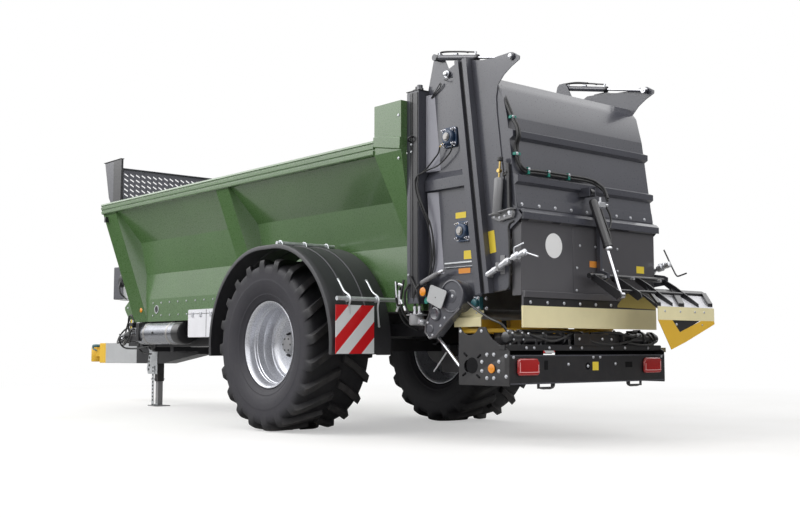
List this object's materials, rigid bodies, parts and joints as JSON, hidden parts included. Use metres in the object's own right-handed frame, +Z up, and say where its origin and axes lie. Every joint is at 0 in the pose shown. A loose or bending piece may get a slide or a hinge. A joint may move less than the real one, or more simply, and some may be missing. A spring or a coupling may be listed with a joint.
{
  "type": "rear-discharge manure spreader trailer",
  "caption": "Single-axle towed manure spreader with a tall flared hopper, moving floor, horizontal beaters under a lifting rear hood and spreading discs behind the rear beam.",
  "frame": {"origin": "on the ground, below the middle of the bounding box", "axes": "+X ahead towards the drawbar, +Y to the machine's left, +Z up"},
  "size_m": [9.978, 2.87, 3.308],
  "materials": {
    "green_paint": "satin",
    "dark_paint": "satin",
    "black_paint": "satin",
    "grey_paint": "satin",
    "rim_paint": "gloss",
    "tyre_rubber": "matt",
    "bare_steel": "worn",
    "silver_metal": "satin",
    "guard_plastic": "matt",
    "hi_yellow": "satin",
    "cream_yellow": "matt",
    "lamp_red": "clear lens",
    "board_sheet": "reflective",
    "rod_chrome": "polished"
  },
  "bodies": {
    "chassis": {"side_wall_left": "green_paint", "side_wall_right": "green_paint", "front_wall": "green_paint", "front_guard": "dark_paint", "floor_plate": "bare_steel", "floor_conveyor": "bare_steel", "rear_portal": "green_paint", "gate_frame": "black_paint", "chassis_frame": "black_paint", "axle": "black_paint", "drawbar": "grey_paint", "coupling": "hi_yellow", "jack_tube": "black_paint", "air_tank": "silver_metal", "storage_box": "silver_metal", "valve_block": "black_paint", "control_box": "grey_paint", "mudguard_left": "guard_plastic", "mudguard_right": "guard_plastic", "warning_board_left": "board_sheet", "warning_board_right": "board_sheet", "beater_housing": "dark_paint", "side_skirt_left": "cream_yellow", "side_skirt_right": "cream_yellow", "drive_case": "dark_paint", "disc_gearbox": "black_paint", "rear_beam": "black_paint", "tail_lamp_left": "lamp_red", "tail_lamp_right": "lamp_red"},
    "wheel_left": {"rim_left": "rim_paint", "tyre_left": "tyre_rubber"},
    "wheel_right": {"rim_right": "rim_paint", "tyre_right": "tyre_rubber"},
    "jack": {"jack_leg": "silver_metal"},
    "sluice_gate": {"gate": "bare_steel"},
    "upper_beater": {"beater_upper": "bare_steel"},
    "lower_beater": {"beater_lower": "bare_steel"},
    "left_disc": {"disc_left": "hi_yellow"},
    "right_disc": {"disc_right": "hi_yellow"},
    "hood": {"hood": "dark_paint"},
    "flap": {"rear_flap": "dark_paint", "deflector_board": "cream_yellow"},
    "hood_barrels": {"hood_barrel_left": "dark_paint", "hood_barrel_right": "dark_paint"},
    "hood_rods": {"hood_rod_left": "rod_chrome", "hood_rod_right": "rod_chrome"},
    "limiter": {"limiter_frame": "black_paint", "limiter_roof": "grey_paint", "limiter_plate": "cream_yellow", "limiter_notch": "black_paint", "limiter_skirt": "hi_yellow"},
    "limiter_barrel": {"limiter_barrel": "black_paint"},
    "limiter_rod": {"limiter_rod": "rod_chrome"}
  },
  "joints": [
    {"name": "wheel_left_spin", "type": "hinge", "parent": "chassis", "child": "wheel_left", "pos_m": [-1.768, 1.085, 0.805], "axis": [0, 1, 0], "continuous": true},
    {"name": "wheel_right_spin", "type": "hinge", "parent": "chassis", "child": "wheel_right", "pos_m": [-1.768, -1.085, 0.805], "axis": [0, 1, 0], "continuous": true},
    {"name": "jack_slide", "type": "slide", "parent": "chassis", "child": "jack", "axis": [0, 0, 1], "range_m": [0, 0.3]},
    {"name": "gate_slide", "type": "slide", "parent": "chassis", "child": "sluice_gate", "axis": [0, 0, 1], "range_m": [0, 1.15]},
    {"name": "upper_beater_spin", "type": "hinge", "parent": "chassis", "child": "upper_beater", "pos_m": [-3.679, 0, 2.552], "axis": [0, 1, 0], "continuous": true},
    {"name": "lower_beater_spin", "type": "hinge", "parent": "chassis", "child": "lower_beater", "pos_m": [-3.838, 0, 1.738], "axis": [0, 1, 0], "continuous": true},
    {"name": "left_disc_spin", "type": "hinge", "parent": "chassis", "child": "left_disc", "pos_m": [-3.918, 0.43, 0.925], "axis": [0, 0, 1], "continuous": true},
    {"name": "right_disc_spin", "type": "hinge", "parent": "chassis", "child": "right_disc", "pos_m": [-3.918, -0.43, 0.925], "axis": [0, 0, 1], "continuous": true},
    {"name": "hood_lift", "type": "hinge", "parent": "chassis", "child": "hood", "pos_m": [-3.713, 0, 3.08], "axis": [0, 1, 0], "range_deg": [0, 60]},
    {"name": "flap_swing", "type": "hinge", "parent": "hood", "child": "flap", "pos_m": [-4.513, 0, 1.8], "axis": [0, 1, 0], "range_deg": [-6, 0]},
    {"name": "hood_barrel_swing", "type": "hinge", "parent": "chassis", "child": "hood_barrels", "pos_m": [-3.525, 0, 3.27], "axis": [0, 1, 0], "range_deg": [0, 50.61]},
    {"name": "hood_rod_slide", "type": "slide", "parent": "hood_barrels", "child": "hood_rods", "axis": [-0.9795, 0, -0.2016], "range_m": [-0.23011, 0]},
    {"name": "limiter_lift", "type": "hinge", "parent": "hood", "child": "limiter", "pos_m": [-4.608, 0, 1.36], "axis": [0, 1, 0], "range_deg": [0, 45]},
    {"name": "limiter_barrel_swing", "type": "hinge", "parent": "hood", "child": "limiter_barrel", "pos_m": [-4.568, 0.07, 2.05], "axis": [0, 1, 0], "range_deg": [0, 9.56]},
    {"name": "limiter_rod_slide", "type": "slide", "parent": "limiter_barrel", "child": "limiter_rod", "axis": [-0.3294, 0, -0.9442], "range_m": [-0.19649, 0]}
  ],
  "couplings": [
    {"joint": "hood_barrel_swing", "follows": "hood_lift", "ratio": 0.84268},
    {"joint": "hood_rod_slide", "follows": "hood_lift", "m_per_rad": -0.21943},
    {"joint": "limiter_barrel_swing", "follows": "limiter_lift", "ratio": 0.2122},
    {"joint": "limiter_rod_slide", "follows": "limiter_lift", "m_per_rad": -0.2498}
  ]
}
